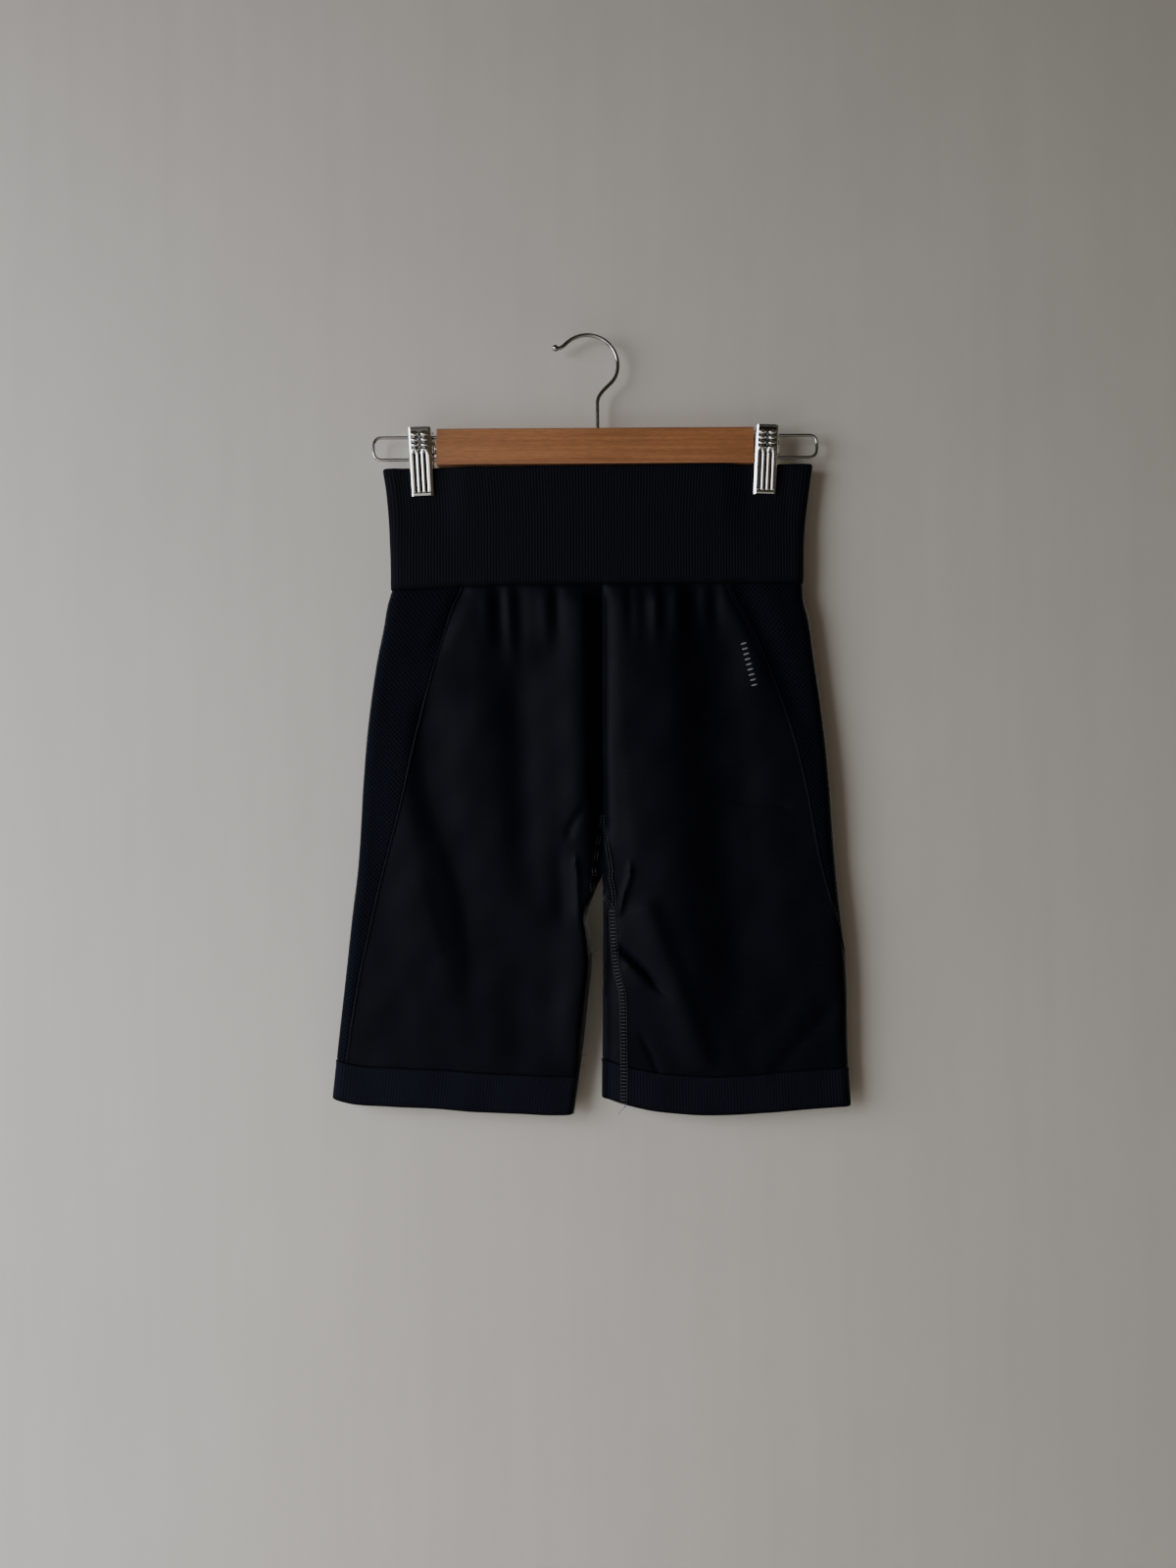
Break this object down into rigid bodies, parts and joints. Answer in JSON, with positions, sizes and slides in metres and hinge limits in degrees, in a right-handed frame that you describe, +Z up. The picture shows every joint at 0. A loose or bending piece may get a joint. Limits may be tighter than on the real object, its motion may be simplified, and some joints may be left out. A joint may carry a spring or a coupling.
{
  "type": "cycling shorts on a clip hanger",
  "caption": "High-waist knitted cycling shorts with a ribbed waistband and mesh sides, hung flat from a wooden clip hanger.",
  "frame": {"origin": "highest point inside the hanger's hook, where it rests on what holds it up", "axes": "+X to the right seen from the front of the shorts, +Y to the back, +Z up"},
  "size_m": [0.3965, 0.0215, 0.5976],
  "materials": {
    "rib_knit": "matte ribbed polyamide and elastane knit, blue-black",
    "plain_knit": "matte plain polyamide and elastane knit, black",
    "mesh_knit": "matte small-eyelet knit, blue-black",
    "beech": "clear satin lacquer over straight grain",
    "steel_wire": "polished nickel-plated wire",
    "chromed_clip": "bright chrome on pressed sheet"
  },
  "bodies": {
    "root": {"waistband": "rib_knit", "front_panel": "plain_knit", "back_panel": "plain_knit", "gusset": "plain_knit", "side_panel_left": "mesh_knit", "side_panel_right": "mesh_knit", "hem_band_left": "rib_knit", "hem_band_right": "rib_knit", "hanger_bar": "beech", "hook": "steel_wire", "wire_loop_left": "steel_wire", "wire_loop_right": "steel_wire", "clip_front_left": "chromed_clip", "clip_back_left": "chromed_clip", "clip_spring_left": "steel_wire", "clip_front_right": "chromed_clip", "clip_back_right": "chromed_clip", "clip_spring_right": "steel_wire"}
  },
  "joints": []
}
